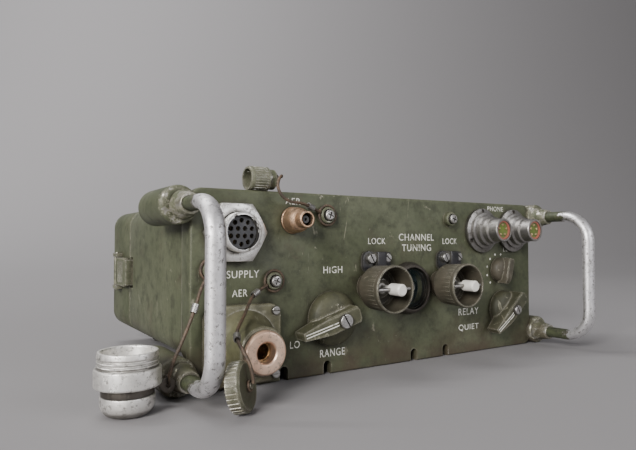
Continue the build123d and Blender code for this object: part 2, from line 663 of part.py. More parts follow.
# ---------------------------------------------------------------- lanyards
whip_route = [(-87.9, -3.0, 51.0), (-92.6, -4.0, 48.9), (-97.4, -5.6, 46.4), (-101.6, -9.4, 42.0),
              (-106.4, -14.8, 37.8), (-111.8, -21.4, 34.8), (-116.2, -28.2, 32.6), (-118.8, -34.8, 30.4),
              (-118.7, -40.4, 27.0), (-116.9, -43.2, 22.0), (-115.8, -43.9, 17.3), (-115.3, -43.8, 13.4)]
power_route = [(-121.4, -3.0, 54.8), (-124.2, -4.2, 50.4), (-126.6, -6.0, 44.6), (-129.6, -7.6, 38.0),
               (-132.9, -8.6, 31.0), (-136.4, -9.8, 24.4), (-140.0, -11.2, 18.2), (-141.5, -11.9, 12.8)]
coax_route = [(-55.5, -3.0, 89.7), (-60.0, -4.4, 91.0), (-65.0, -5.8, 92.8), (-70.6, -7.0, 94.0),
              (-76.6, -7.6, 94.0), (-81.6, -7.4, 96.6), (-84.0, -6.6, 101.4), (-82.4, -5.2, 106.2),
              (-78.8, -2.4, 108.6), (-76.9, 2.0, 108.2)]


def corner_radii(points):
    """Largest arc for each corner of a route: 0.45 of its shorter run over tan(half the turn)."""
    radii = []
    for a, b, c in zip(points, points[1:], points[2:]):
        before, after = Vector(*b) - Vector(*a), Vector(*c) - Vector(*b)
        turn = radians(before.get_angle(after))
        radii.append(0.45 * min(before.length, after.length) / tan(turn / 2))
    return radii


def lanyard(name, points):
    """Thin wire along a route of runs and tangent arcs."""
    radii = corner_radii(points)
    path = FilletPolyline(*points, radius=radii)
    start = Plane(origin=path @ 0, z_dir=path % 0)
    tube = sweep(start * Circle(wire / 2), path=path)
    expected = pi * (wire / 2) ** 2 * path.length
    print(name, "length", round(path.length, 1), "radii", [round(r, 1) for r in radii],
          "volume ratio", round(tube.volume / expected, 4))
    return tube


def crimps(points, places, length=4.2):
    """Short sleeves crimped round straight runs of a lanyard: (run number, share along it)."""
    sleeves = []
    for run, share in places:
        start, end = Vector(*points[run]), Vector(*points[run + 1])
        place = Plane(origin=start + (end - start) * share, z_dir=end - start)
        sleeves.append(place * (Cylinder(1.7, length) - Cylinder(wire / 2 + 0.35, length + 2)))
    return sleeves


# ---------------------------------------------------------------- build every node
os.makedirs("parts", exist_ok=True)

sockets = [audio_connector(at) for at in audio_at]
save("front_panel", front_panel())
save("transceiver_case", transceiver_case())
save("battery_case", case_shell(battery_front, battery_back, case_wall, 5))
rear_seal = case_gasket(case_back, battery_front) - keeper_pocket(-1) - keeper_pocket(1)
save("case_seals", case_gasket(panel_rim_back, case_front), rear_seal, *[s[1] for s in sockets])
save("battery_pack", battery_pack())

save("handle_left", handle(-1))
save("handle_right", handle(1))
save("handle_sockets", *[handle_socket(side, z) for side in (-1, 1) for z in boss_z])
save("handle_ferrules", *[handle_collar(side, z) for side in (-1, 1) for z in boss_z])

nut, shell, insert, power_contacts = power_connector()
save("power_connector_nut", nut)
save("power_connector_shell", shell)
save("power_connector_insert", insert)
save("audio_barrels", *[s[0] for s in sockets])
save("audio_inserts", *[s[2] for s in sockets])
save("connector_contacts", *power_contacts, *[pin for s in sockets for pin in s[3]])

housing, whip_insulator, whip_contact, base_screws = whip_connector()
base, barrel, coax_insulator, coax_contact = coax_connector()
save("whip_base", housing)
save("whip_insulator", *whip_insulator)
save("coax_base", base)
save("coax_barrel", barrel)
save("coax_insulator", coax_insulator)
save("antenna_contacts", whip_contact, coax_contact)

bezel, lens, mask = dial_window()
save("dial_bezel", bezel)
save("dial_lens", lens)
save("dial_mask", mask)

band_height, function_height = 15.0, 13.5
save("band_knob", screwed_knob(band_at, band_height, skirt=15.0, dome=9.5, back=11.5, tip=25.0, width=9.5,
                               angle=band_angle))
save("band_spindle", rod_y(shaft_radius, -8.8, chassis_front + 30, band_at),
     knob_screw(band_at, band_height, 3.9))
save("function_knob", screwed_knob(function_at, function_height, skirt=12.0, dome=8.0, back=14.0, tip=21.0,
                                   width=8.5, angle=function_angle))
save("function_spindle", rod_y(shaft_radius, -7.3, chassis_front + 23, function_at),
     knob_screw(function_at, function_height, 3.1))
save("volume_knob", volume_knob())

disc_size = {"left": (27.0, 6.4), "right": (22.5, 8.6)}
pinion = gear(pinion_teeth, gear_module, *gear_y, tuning_at["right"], shaft_radius + 0.05)
for side, at in tuning_at.items():
    radius, y = disc_size[side]
    save(f"tuning_knob_{side}", tuning_knob(at))
    save(f"tuning_post_{side}", *tuning_post(at, chassis_front + 12), *([pinion] if side == "right" else []))
    save(f"dial_disc_{side}", ring_y(radius, shaft_radius + 0.05, y, y + 1.0, at))
wheel_phase = 180 / capacitor_teeth
wheel = gear(capacitor_teeth, gear_module, *gear_y, capacitor_at, capacitor_shaft_radius + 0.05, wheel_phase)
save("capacitor_rotor", capacitor_rotor(), wheel)

locks = {side: preset_lock(at) for side, at in preset_at.items()}
save("preset_blocks", *[lock[0] for lock in locks.values()])
save("panel_screws", *base_screws, *[lock[1] for lock in locks.values()])
for side, lock in locks.items():
    save(f"preset_cam_{side}", lock[2])
for name, at in captive_at.items():
    save(f"captive_screw_{name}", captive_screw(at))

for side, name in ((-1, "left"), (1, "right")):
    save(f"latch_{name}", latch(side))
brackets = [latch_bracket(side) for side in (-1, 1)]
save("latch_brackets", *[piece for ears, pin in brackets for piece in (*ears, pin)])
save("rear_feet", rear_foot(-92), rear_foot(92))

save("chassis", chassis(), capacitor_frame())
save("control_switches", rotary_switch(band_at, 3, 12.0), rotary_switch(function_at, 2, 8.6),
     level_control(volume_at))
save("circuit_modules", *circuit_boards(), *module_cans())
socket, socket_pins = battery_connector()
save("battery_connector", socket, *socket_pins)

save("lanyard_whip", lanyard("lanyard_whip", whip_route))
save("lanyard_power", lanyard("lanyard_power", power_route))
save("lanyard_coax", lanyard("lanyard_coax", coax_route))
save("lanyard_crimps", *crimps(whip_route, [(1, 0.6), (6, 0.6)]), *crimps(power_route, [(2, 0.4)]),
     *crimps(coax_route, [(1, 0.6)]))
save("power_cap", power_cap())
save("power_cap_ring", power_cap_ring())
save("whip_cap", whip_cap())
save("coax_cap", coax_cap())
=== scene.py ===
import json
from math import cos, pi, radians, sin

import bmesh
import bpy
from mathutils import Matrix, Vector

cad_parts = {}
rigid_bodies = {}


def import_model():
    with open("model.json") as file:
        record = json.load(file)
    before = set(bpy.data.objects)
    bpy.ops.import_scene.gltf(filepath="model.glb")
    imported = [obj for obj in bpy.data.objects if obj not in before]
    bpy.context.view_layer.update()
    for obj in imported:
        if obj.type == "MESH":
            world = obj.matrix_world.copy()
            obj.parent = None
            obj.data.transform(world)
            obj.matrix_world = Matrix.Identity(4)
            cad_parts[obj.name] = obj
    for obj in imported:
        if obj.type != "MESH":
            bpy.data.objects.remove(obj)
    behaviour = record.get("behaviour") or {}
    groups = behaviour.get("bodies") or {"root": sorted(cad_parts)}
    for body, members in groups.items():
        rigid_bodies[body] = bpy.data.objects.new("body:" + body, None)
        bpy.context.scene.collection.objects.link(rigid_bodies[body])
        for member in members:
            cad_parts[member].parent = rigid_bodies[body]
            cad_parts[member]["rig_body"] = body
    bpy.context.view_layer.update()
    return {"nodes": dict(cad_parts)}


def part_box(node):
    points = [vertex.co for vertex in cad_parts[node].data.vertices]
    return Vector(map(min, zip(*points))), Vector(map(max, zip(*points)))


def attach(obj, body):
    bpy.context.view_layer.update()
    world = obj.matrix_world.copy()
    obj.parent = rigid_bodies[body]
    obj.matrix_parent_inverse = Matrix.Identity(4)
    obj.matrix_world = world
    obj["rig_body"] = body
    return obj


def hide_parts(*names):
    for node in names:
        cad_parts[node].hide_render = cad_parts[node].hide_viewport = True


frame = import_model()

MM = 0.001
nodes = frame["nodes"]
ROOT = "radio_set"

# The panel's front face and the places of its controls, read from the frame.
PANEL_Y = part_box("power_connector_nut")[1].y


def centre(node):
    """Middle of a CAD node's box."""
    low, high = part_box(node)
    return (low + high) / 2


def at_panel(x, out, z):
    """A point in front of the panel: x and z in millimetres, out is the distance proud of its face."""
    return Vector((x * MM, PANEL_Y - out * MM, z * MM))


# ---------------------------------------------------------------- camera
CAMERA_PLACE = Vector((-219.3, -320.0, 73.2)) * MM
CAMERA_TURN = 32.6
CAMERA_PITCH = 1.77
CAMERA_LENS = 31.25


def make_camera():
    """A low three-quarter view of the control panel from its left."""
    data = bpy.data.cameras.new("camera")
    data.lens = CAMERA_LENS
    data.sensor_width = 36
    data.clip_start = 0.01
    camera = bpy.data.objects.new("camera", data)
    bpy.context.scene.collection.objects.link(camera)
    camera.location = CAMERA_PLACE
    camera.rotation_euler = (radians(90 + CAMERA_PITCH), 0, radians(-CAMERA_TURN))
    bpy.context.scene.camera = camera


make_camera()


# ---------------------------------------------------------------- mesh helpers
WELD = 2e-6             # vertices closer than this are one, in metres
FLAT_ANGLE = 0.6        # degrees; facets that meet flatter than this are joined
SHARP_ANGLE = 32        # degrees; edges sharper than this are rounded
SHADING_ANGLE = 38      # degrees; edges sharper than this are shaded sharp


def link(name, data):
    """A new object in the scene that holds a mesh or a curve."""
    piece = bpy.data.objects.new(name, data)
    bpy.context.scene.collection.objects.link(piece)
    return piece


def add_piece(name, data, body, material):
    """A new piece that rides on a body, with its material."""
    piece = link(name, data)
    data.materials.clear()
    data.materials.append(material)
    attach(piece, body)
    return piece


def curve_data(name, points, radius, closed=False):
    """A NURBS wire through control points, in metres."""
    data = bpy.data.curves.new(name, "CURVE")
    data.dimensions = "3D"
    spline = data.splines.new("NURBS")
    spline.points.add(len(points) - 1)
    for point, place in zip(spline.points, points):
        point.co = (*place, 1)
    spline.order_u = 3
    spline.use_endpoint_u = not closed
    spline.use_cyclic_u = closed
    spline.resolution_u = 12
    data.bevel_depth = radius
    data.bevel_resolution = 5
    data.use_fill_caps = not closed
    return data


def bake_mesh(name, source):
    """The mesh that an object shows, as new data; the object itself is removed."""
    bpy.context.view_layer.update()
    graph = bpy.context.evaluated_depsgraph_get()
    mesh = bpy.data.meshes.new_from_object(source.evaluated_get(graph))
    mesh.name = name
    mesh.transform(source.matrix_world)
    bpy.data.objects.remove(source)
    return mesh


def refine(node, bevel):
    """A piece that stands for a CAD node, with its sharp edges rounded by bevel millimetres."""
    source = nodes[node]
    mesh = bpy.data.meshes.new(node + "_fine")
    work = bmesh.new()
    work.from_mesh(source.data)
    bmesh.ops.remove_doubles(work, verts=work.verts, dist=WELD)
    bmesh.ops.dissolve_limit(work, angle_limit=radians(FLAT_ANGLE), verts=work.verts, edges=work.edges)
    sharp = [e for e in work.edges if e.is_manifold and e.calc_face_angle(0) > radians(SHARP_ANGLE)]
    bmesh.ops.bevel(work, geom=sharp, offset=bevel * MM, segments=2, profile=0.6, affect="EDGES",
                    clamp_overlap=True, miter_outer="SHARP")
    bmesh.ops.triangulate(work, faces=[f for f in work.faces if len(f.verts) > 4])
    for face in work.faces:
        face.smooth = True
    work.to_mesh(mesh)
    work.free()
    mesh.set_sharp_from_angle(angle=radians(SHADING_ANGLE))
    piece = link(node + "_fine", mesh)
    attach(piece, source["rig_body"])
    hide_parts(node)
    return piece


# ---------------------------------------------------------------- shader helpers
class Shader:
    """A node material, built from small steps."""

    def __init__(self, name):
        self.material = bpy.data.materials.new(name)
        self.material.use_nodes = True
        self.tree = self.material.node_tree
        self.surface = self.tree.nodes["Principled BSDF"]
        self.place = self.add("ShaderNodeTexCoord").outputs["Object"]

    def add(self, kind, **settings):
        """A node with its attributes set."""
        node = self.tree.nodes.new(kind)
        for key, value in settings.items():
            setattr(node, key, value)
        return node

    def put(self, value, socket):
        """Links an output to a socket, or sets a plain value on it."""
        if isinstance(value, bpy.types.NodeSocket):
            self.tree.links.new(value, socket)
        elif isinstance(value, tuple) and len(value) == 3 and socket.type == "RGBA":
            socket.default_value = (*value, 1)
        else:
            socket.default_value = value

    def set(self, **sockets):
        """Values or outputs for the surface's own sockets."""
        for name, value in sockets.items():
            self.put(value, self.surface.inputs[name.replace("_", " ")])

    def math(self, operation, a, b=0.5, clamp=False):
        """One arithmetic step on two values or outputs."""
        node = self.add("ShaderNodeMath", operation=operation, use_clamp=clamp)
        self.put(a, node.inputs[0])
        self.put(b, node.inputs[1])
        return node.outputs[0]

    def ramp(self, value, low, high, start=0.0, end=1.0):
        """Smooth step from low to high."""
        node = self.add("ShaderNodeMapRange", interpolation_type="SMOOTHSTEP")
        for socket, given in zip(node.inputs, (value, low, high, start, end)):
            self.put(given, socket)
        return node.outputs[0]

    def noise(self, scale, detail, rough, stretch=(1, 1, 1), offset=(0, 0, 0)):
        """Noise in the object's own space; scale is per metre."""
        mapping = self.add("ShaderNodeMapping")
        self.put(self.place, mapping.inputs["Vector"])
        mapping.inputs["Scale"].default_value = stretch
        mapping.inputs["Location"].default_value = offset
        node = self.add("ShaderNodeTexNoise")
        self.put(mapping.outputs[0], node.inputs["Vector"])
        node.inputs["Scale"].default_value = scale
        node.inputs["Detail"].default_value = detail
        node.inputs["Roughness"].default_value = rough
        return node.outputs["Fac"]

    def mix(self, share, a, b):
        """A colour between a and b."""
        node = self.add("ShaderNodeMix", data_type="RGBA")
        self.put(share, node.inputs["Factor"])
        self.put(a, node.inputs[6])
        self.put(b, node.inputs[7])
        return node.outputs[2]

    def edges(self, radius):
        """1 on sharp convex and concave edges, 0 on flat faces."""
        bevel = self.add("ShaderNodeBevel", samples=5)
        bevel.inputs["Radius"].default_value = radius * MM
        geometry = self.add("ShaderNodeNewGeometry")
        dot = self.add("ShaderNodeVectorMath", operation="DOT_PRODUCT")
        self.put(bevel.outputs[0], dot.inputs[0])
        self.put(geometry.outputs["Normal"], dot.inputs[1])
        return self.ramp(dot.outputs["Value"], 0.995, 0.80)

    def hollows(self, distance):
        """1 in corners and recesses, 0 in the open."""
        node = self.add("ShaderNodeAmbientOcclusion", samples=6)
        node.inputs["Distance"].default_value = distance * MM
        return self.ramp(node.outputs["AO"], 0.95, 0.35)

    def axis(self, name):
        """One coordinate of the object's space, in metres."""
        node = self.add("ShaderNodeSeparateXYZ")
        self.put(self.place, node.inputs[0])
        return node.outputs[name]

    def scratches(self, scale, turn, offset):
        """Sparse hair-thin lines, where a stretched noise crosses its middle value."""
        mapping = self.add("ShaderNodeMapping")
        self.put(self.place, mapping.inputs["Vector"])
        mapping.inputs["Rotation"].default_value = turn
        mapping.inputs["Scale"].default_value = (1.0, 0.25, 0.16)
        mapping.inputs["Location"].default_value = offset
        node = self.add("ShaderNodeTexNoise")
        self.put(mapping.outputs[0], node.inputs["Vector"])
        node.inputs["Scale"].default_value = scale
        node.inputs["Detail"].default_value = 0.0
        far = self.math("ABSOLUTE", self.math("SUBTRACT", node.outputs["Fac"], 0.5))
        line = self.ramp(far, 0.016, 0.0)
        where = self.ramp(self.noise(55, 4, 0.7, offset=offset), 0.60, 0.66)
        return self.math("MULTIPLY", line, where)

    def bump(self, height, distance, strength=1.0):
        """Surface relief; the distance is in millimetres."""
        node = self.add("ShaderNodeBump")
        node.inputs["Strength"].default_value = strength
        node.inputs["Distance"].default_value = distance * MM
        self.put(height, node.inputs["Height"])
        self.put(node.outputs[0], self.surface.inputs["Normal"])


# ---------------------------------------------------------------- materials
OLIVE = (0.064, 0.073, 0.038)
OLIVE_LIGHT = (0.094, 0.102, 0.060)
OLIVE_DARK = (0.026, 0.028, 0.017)
DIRT = (0.058, 0.040, 0.026)
DUST = (0.19, 0.18, 0.145)
SCUFF = (0.30, 0.285, 0.21)
BARE = (0.50, 0.48, 0.44)


def painted(name, base=OLIVE, light=OLIVE_LIGHT, wear=0.5, edge_radius=0.9, corner_shade=0.6, chips=0.5, rough=0.50,
            rub=None):
    """Old sprayed paint: cloudy colour, painted shade in its corners, chipped edges; rub is where hands wore
    it away.
    """
    s = Shader(name)
    cloud = s.noise(19, 7, 0.66)
    fine = s.noise(420, 4, 0.6)
    mottle = s.noise(110, 6, 0.70, offset=(0.1, 0.8, 0.6))
    colour = s.mix(s.ramp(cloud, 0.36, 0.64), base, light)
    colour = s.mix(s.ramp(mottle, 0.46, 0.70, 0.0, 0.62), colour, OLIVE_DARK)
    colour = s.mix(s.ramp(fine, 0.35, 0.75, 0.0, 0.30), colour, OLIVE_DARK)
    stain = s.noise(38, 7, 0.72, offset=(0.2, 0.4, 0.1))
    colour = s.mix(s.ramp(stain, 0.54, 0.74, 0.0, 0.55), colour, DIRT)
    speck = s.noise(240, 6, 0.72, offset=(0.7, 0.1, 0.3))
    colour = s.mix(s.ramp(speck, 0.64, 0.72, 0.0, 0.55), colour, DUST)
    lines = s.math("MAXIMUM", s.scratches(160, (0.0, 0.5, 0.0), (0.1, 0.7, 0.2)),
                   s.scratches(190, (0.7, -0.9, 0.2), (0.6, 0.2, 0.9)))
    colour = s.mix(s.math("MULTIPLY", lines, 0.7), colour, SCUFF)
    # painted shade: corners and recesses are darkened towards near black, broken up by noise
    corner = s.math("MULTIPLY", s.hollows(8), s.ramp(s.noise(75, 6, 0.7), 0.25, 0.6, 0.45, 1.0))
    colour = s.mix(s.math("MULTIPLY", corner, corner_shade), colour, (0.030, 0.022, 0.015))
    broken = s.noise(150, 9, 0.75, offset=(0.3, 0.9, 0.5))
    worn = s.math("MULTIPLY", s.edges(edge_radius), s.ramp(broken, 0.60 - 0.26 * wear, 0.66 - 0.22 * wear))
    halo = s.math("MULTIPLY", s.edges(edge_radius * 2.6), s.ramp(broken, 0.36, 0.60))
    colour = s.mix(s.math("MULTIPLY", halo, 0.35 + 0.4 * wear), colour, SCUFF)
    chipped = s.noise(95, 10, 0.76, offset=(0.5, 0.5, 0.2))
    if rub is not None:
        chipped = s.math("ADD", chipped, s.ramp(s.axis("Y"), *rub, 0.0, 0.13))
    rims = s.ramp(chipped, 0.675 - 0.05 * chips, 0.695 - 0.05 * chips, 0.0, 0.7)
    colour = s.mix(rims, colour, SCUFF)
    bare = s.ramp(chipped, 0.700 - 0.05 * chips, 0.712 - 0.05 * chips)
    metal = s.math("MAXIMUM", worn, bare, clamp=True)
    metal_colour = s.mix(s.ramp(fine, 0.3, 0.7), BARE, SCUFF)
    # darker towards the bottom, in patches
    low_darkening = s.math("MULTIPLY", s.ramp(s.axis("Z"), 0.030, 0.002), s.ramp(stain, 0.34, 0.60))
    colour = s.mix(s.math("MULTIPLY", low_darkening, 0.65), colour, DIRT)
    shade = s.math("SUBTRACT", s.math("MULTIPLY", mottle, 0.6), s.math("MULTIPLY", metal, 0.3))
    s.set(Base_Color=s.mix(metal, colour, metal_colour), Metallic=s.math("MULTIPLY", metal, 0.8),
          Roughness=s.ramp(shade, -0.2, 0.6, rough - 0.18, rough + 0.16), Specular_IOR_Level=0.38)
    relief = s.math("ADD", s.math("MULTIPLY", fine, 0.4), s.math("MULTIPLY", s.noise(1300, 3, 0.5), 0.2))
    s.bump(s.math("SUBTRACT", relief, s.math("MULTIPLY", metal, 0.9)), 0.16, 0.85)
    return s.material


def bare_metal(name, colour, dark, rough=0.34, hollow_shade=0.5, speck=0.5, residue=None, metallic=0.95):
    """Rubbed metal with fine scratches, dull blotches and painted shade in its hollows; residue is where old
    paint is left.
    """
    s = Shader(name)
    cloud = s.noise(45, 6, 0.65)
    fine = s.noise(520, 5, 0.65)
    tone = s.mix(s.ramp(cloud, 0.34, 0.68), colour, dark)
    pits = s.ramp(s.noise(420, 7, 0.80, offset=(0.4, 0.1, 0.8)), 0.54, 0.60)
    tone = s.mix(s.math("MULTIPLY", pits, speck), tone, (0.12, 0.11, 0.095))
    blots = s.ramp(s.noise(85, 8, 0.75, offset=(0.8, 0.6, 0.1)), 0.56, 0.63)
    tone = s.mix(s.math("MULTIPLY", blots, speck * 0.35), tone, (0.26, 0.25, 0.22))
    lines = s.math("MAXIMUM", s.scratches(260, (0.3, 0.9, 0.4), (0.3, 0.1, 0.6)),
                   s.scratches(330, (1.2, -0.4, 0.1), (0.7, 0.4, 0.2)))
    tone = s.mix(s.math("MULTIPLY", lines, 0.6), tone, (0.16, 0.15, 0.14))
    # painted shade: corners and recesses are darkened, broken up by noise
    corner = s.math("MULTIPLY", s.hollows(5), s.ramp(cloud, 0.25, 0.6, 0.5, 1.0))
    tone = s.mix(s.math("MULTIPLY", corner, hollow_shade), tone, (0.055, 0.046, 0.034))
    shine = metallic
    if residue is not None:
        start, end = residue
        near = s.math("MULTIPLY", s.ramp(s.axis("Y"), start, end), 0.40)
        cover = s.math("ADD", near, s.noise(80, 9, 0.74, offset=(0.9, 0.3, 0.6)))
        left = s.ramp(cover, 0.715, 0.74)
        tone = s.mix(s.ramp(cover, 0.66, 0.72), tone, (0.15, 0.14, 0.10))
        tone = s.mix(left, tone, s.mix(s.ramp(fine, 0.4, 0.7), OLIVE, OLIVE_DARK))
        shine = s.math("MULTIPLY", s.math("SUBTRACT", 1.0, left), metallic)
    s.set(Base_Color=tone, Metallic=shine,
          Roughness=s.ramp(s.math("ADD", s.math("MULTIPLY", fine, 0.5), s.math("MULTIPLY", cloud, 0.5)),
                           0.3, 0.7, rough - 0.08, rough + 0.20))
    s.bump(s.math("SUBTRACT", s.math("MULTIPLY", fine, 0.5), s.math("MULTIPLY", pits, 0.5)), 0.12, 0.55)
    return s.material


def moulded(name, colour, second, rough=0.5, grain=0.5, dust=0.3):
    """Plastic or rubber with a fine grain, handling marks and dust in its corners."""
    s = Shader(name)
    cloud = s.noise(90, 5, 0.6)
    fine = s.noise(900, 3, 0.5)
    tone = s.mix(s.ramp(cloud, 0.35, 0.7), colour, second)
    tone = s.mix(s.math("MULTIPLY", s.hollows(3), dust), tone, DUST)
    tone = s.mix(s.math("MULTIPLY", s.edges(0.4), 0.35), tone, DUST)
    s.set(Base_Color=tone, Roughness=s.ramp(cloud, 0.3, 0.7, rough - 0.1, rough + 0.12))
    s.bump(fine, 0.08 * grain, 0.6)
    return s.material


def lettering(name):
    """White stencil paint, rubbed through in places."""
    s = Shader(name)
    rubbed = s.ramp(s.noise(420, 6, 0.72, offset=(0.2, 0.6, 0.3)), 0.55, 0.62)
    s.set(Base_Color=s.mix(rubbed, (0.70, 0.69, 0.62), OLIVE_LIGHT),
          Roughness=s.ramp(rubbed, 0, 1, 0.55, 0.65))
    s.bump(s.noise(900, 3, 0.5), 0.03, 0.5)
    return s.material


def braided(name):
    """Stained lanyard with a spiral lay."""
    s = Shader(name)
    stains = s.noise(240, 6, 0.7)
    strands = s.noise(1500, 2, 0.5, stretch=(1.0, 1.0, 0.5))
    tone = s.mix(s.ramp(stains, 0.35, 0.65), (0.095, 0.058, 0.034), (0.035, 0.026, 0.018))
    tone = s.mix(s.ramp(strands, 0.5, 0.7, 0.0, 0.5), tone, (0.17, 0.12, 0.08))
    s.set(Base_Color=tone, Roughness=s.ramp(stains, 0.3, 0.7, 0.5, 0.75))
    s.bump(strands, 0.25, 0.9)
    return s.material


def window_glass(name):
    """Thin tinted lens with smears."""
    s = Shader(name)
    smear = s.noise(120, 5, 0.6, stretch=(1, 1, 2.5))
    s.set(Base_Color=s.mix(s.ramp(smear, 0.4, 0.7), (0.010, 0.022, 0.026), (0.030, 0.045, 0.048)),
          Roughness=s.ramp(smear, 0.35, 0.75, 0.03, 0.16), Alpha=0.12, IOR=1.45)
    s.bump(smear, 0.01, 0.3)
    return s.material


def seal_material(name):
    """Black gasket rubber; the rings inside the audio sockets are dull red."""
    s = Shader(name)
    cloud = s.noise(160, 5, 0.6)
    black = s.mix(s.ramp(cloud, 0.35, 0.7), (0.016, 0.015, 0.014), (0.045, 0.040, 0.033))
    red = s.mix(s.ramp(cloud, 0.35, 0.7), (0.40, 0.12, 0.08), (0.25, 0.09, 0.06))
    front = s.ramp(s.axis("Y"), PANEL_Y - 0.004, PANEL_Y - 0.008)
    s.set(Base_Color=s.mix(front, black, red), Roughness=s.ramp(cloud, 0.3, 0.7, 0.5, 0.75))
    s.bump(s.noise(800, 3, 0.5), 0.05, 0.5)
    return s.material


SOCKET_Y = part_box("handle_sockets")[0].y
BAR_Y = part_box("handle_left")[0].y
PAINT = painted("olive_paint", wear=0.45, edge_radius=0.9, chips=0.35)
PAINT_CASE = painted("olive_paint_case", wear=0.5, edge_radius=1.3, corner_shade=0.5, chips=0.3)
PAINT_WORN = painted("olive_paint_worn", wear=1.0, edge_radius=1.7, corner_shade=0.7, chips=1.0)
PAINT_SOCKET = painted("olive_paint_socket", wear=1.1, edge_radius=2.2, corner_shade=0.7, chips=0.9,
                       rub=(SOCKET_Y + 0.016, SOCKET_Y - 0.002))
PAINT_KNOB = painted("olive_paint_knob", base=(0.048, 0.049, 0.026), light=(0.088, 0.086, 0.050), wear=1.2,
                     edge_radius=1.3, corner_shade=0.8, chips=1.0)
PAINT_FUNCTION = painted("olive_paint_function", base=(0.034, 0.035, 0.019), light=(0.062, 0.060, 0.036),
                         wear=1.1, edge_radius=1.2, corner_shade=0.8, chips=0.8)
PAINT_HOUSING = painted("olive_paint_housing", base=(0.088, 0.088, 0.044), light=(0.145, 0.136, 0.078),
                        wear=1.1, edge_radius=1.9, corner_shade=0.6, chips=1.1)
PAINT_BROWN = painted("brown_paint_knob", base=(0.046, 0.040, 0.028), light=(0.074, 0.064, 0.046), wear=0.9,
                      edge_radius=0.7, corner_shade=0.8, chips=0.8)
SILVER = bare_metal("rubbed_aluminium", (0.88, 0.865, 0.87), (0.66, 0.645, 0.65), rough=0.42, hollow_shade=0.7,
                    speck=0.8, residue=(BAR_Y + 0.008, SOCKET_Y - 0.012))
SILVER_CAP = bare_metal("turned_aluminium", (0.92, 0.90, 0.87), (0.74, 0.72, 0.68), rough=0.44, hollow_shade=0.8,
                        speck=0.6)
NUT_METAL = bare_metal("plated_nut", (0.92, 0.90, 0.87), (0.68, 0.66, 0.62), rough=0.40, hollow_shade=0.85)
DARK_METAL = bare_metal("blackened_metal", (0.15, 0.135, 0.12), (0.085, 0.075, 0.065), rough=0.45, hollow_shade=0.8,
                        speck=0.7)
GREY_METAL = bare_metal("dull_grey_metal", (0.36, 0.345, 0.33), (0.23, 0.22, 0.205), rough=0.36, hollow_shade=0.85,
                        speck=0.7)
STEEL = bare_metal("screw_steel", (0.50, 0.485, 0.47), (0.33, 0.32, 0.30), rough=0.34, hollow_shade=0.9)
COPPER = bare_metal("worn_copper", (0.90, 0.66, 0.51), (0.70, 0.48, 0.35), rough=0.42, hollow_shade=0.75, speck=0.4)
COPPER_DULL = bare_metal("dull_copper", (0.66, 0.43, 0.28), (0.42, 0.28, 0.18), rough=0.42, hollow_shade=0.9,
                         speck=0.7)
BRASS = bare_metal("contact_brass", (0.62, 0.48, 0.27), (0.45, 0.34, 0.2), rough=0.3, hollow_shade=0.5)
POST_WHITE = moulded("ivory_post", (0.74, 0.72, 0.67), (0.62, 0.60, 0.54), rough=0.42, dust=0.4)
INSERT_GREY = moulded("insert_grey_plastic", (0.052, 0.052, 0.058), (0.034, 0.034, 0.038), rough=0.5,
                      dust=0.15)
INSERT_GREEN = moulded("insert_green_plastic", (0.12, 0.16, 0.025), (0.07, 0.10, 0.02), rough=0.42)
BLACK = moulded("black_plastic", (0.010, 0.010, 0.012), (0.026, 0.024, 0.026), rough=0.34, dust=0.4)
DIAL_FACE = moulded("dial_face", (0.008, 0.015, 0.017), (0.014, 0.026, 0.030), rough=0.45, dust=0.1)
RUBBER = moulded("foot_rubber", (0.016, 0.015, 0.014), (0.035, 0.032, 0.028), rough=0.68, grain=1.0)
BOARD = moulded("circuit_board", (0.05, 0.09, 0.03), (0.08, 0.10, 0.05), rough=0.5)
CARD = moulded("battery_card", (0.16, 0.13, 0.08), (0.11, 0.09, 0.06), rough=0.7)
LETTERS = lettering("stencil_white")
NUMERALS = moulded("numeral_white", (0.90, 0.92, 0.90), (0.78, 0.80, 0.78), rough=0.5, dust=0.1)
HAIRLINE = moulded("hairline_black", (0.004, 0.004, 0.005), (0.009, 0.009, 0.010), rough=0.5, dust=0.1)
CORD = braided("lanyard_braid")
GLASS = window_glass("dial_glass")
SEAL = seal_material("seal_rubber")

# Outer pieces whose edges are rounded: the material and the rounding in millimetres.
FINE_NODES = {
    "front_panel": (PAINT, 0.35), "transceiver_case": (PAINT_CASE, 0.4), "battery_case": (PAINT_CASE, 0.4),
    "handle_sockets": (PAINT_SOCKET, 0.3), "whip_base": (PAINT_HOUSING, 0.35),
    "latch_left": (PAINT_WORN, 0.25), "latch_right": (PAINT_WORN, 0.25),
    "band_knob": (PAINT_KNOB, 0.45), "function_knob": (PAINT_FUNCTION, 0.4),
    "volume_knob": (PAINT_BROWN, 0.3), "tuning_knob_left": (PAINT_BROWN, 0.15),
    "tuning_knob_right": (PAINT_BROWN, 0.15), "power_connector_nut": (NUT_METAL, 0.3),
    "power_connector_shell": (NUT_METAL, 0.12), "audio_barrels": (GREY_METAL, 0.18),
    "coax_base": (COPPER_DULL, 0.2), "coax_barrel": (COPPER_DULL, 0.15), "whip_insulator": (COPPER, 0.3),
    "dial_bezel": (DARK_METAL, 0.15), "power_cap": (SILVER_CAP, 0.25), "preset_blocks": (BLACK, 0.25),
    "latch_brackets": (PAINT_WORN, 0.2), "handle_ferrules": (PAINT_SOCKET, 0.25),
    "power_cap_ring": (DARK_METAL, 0.15),
}
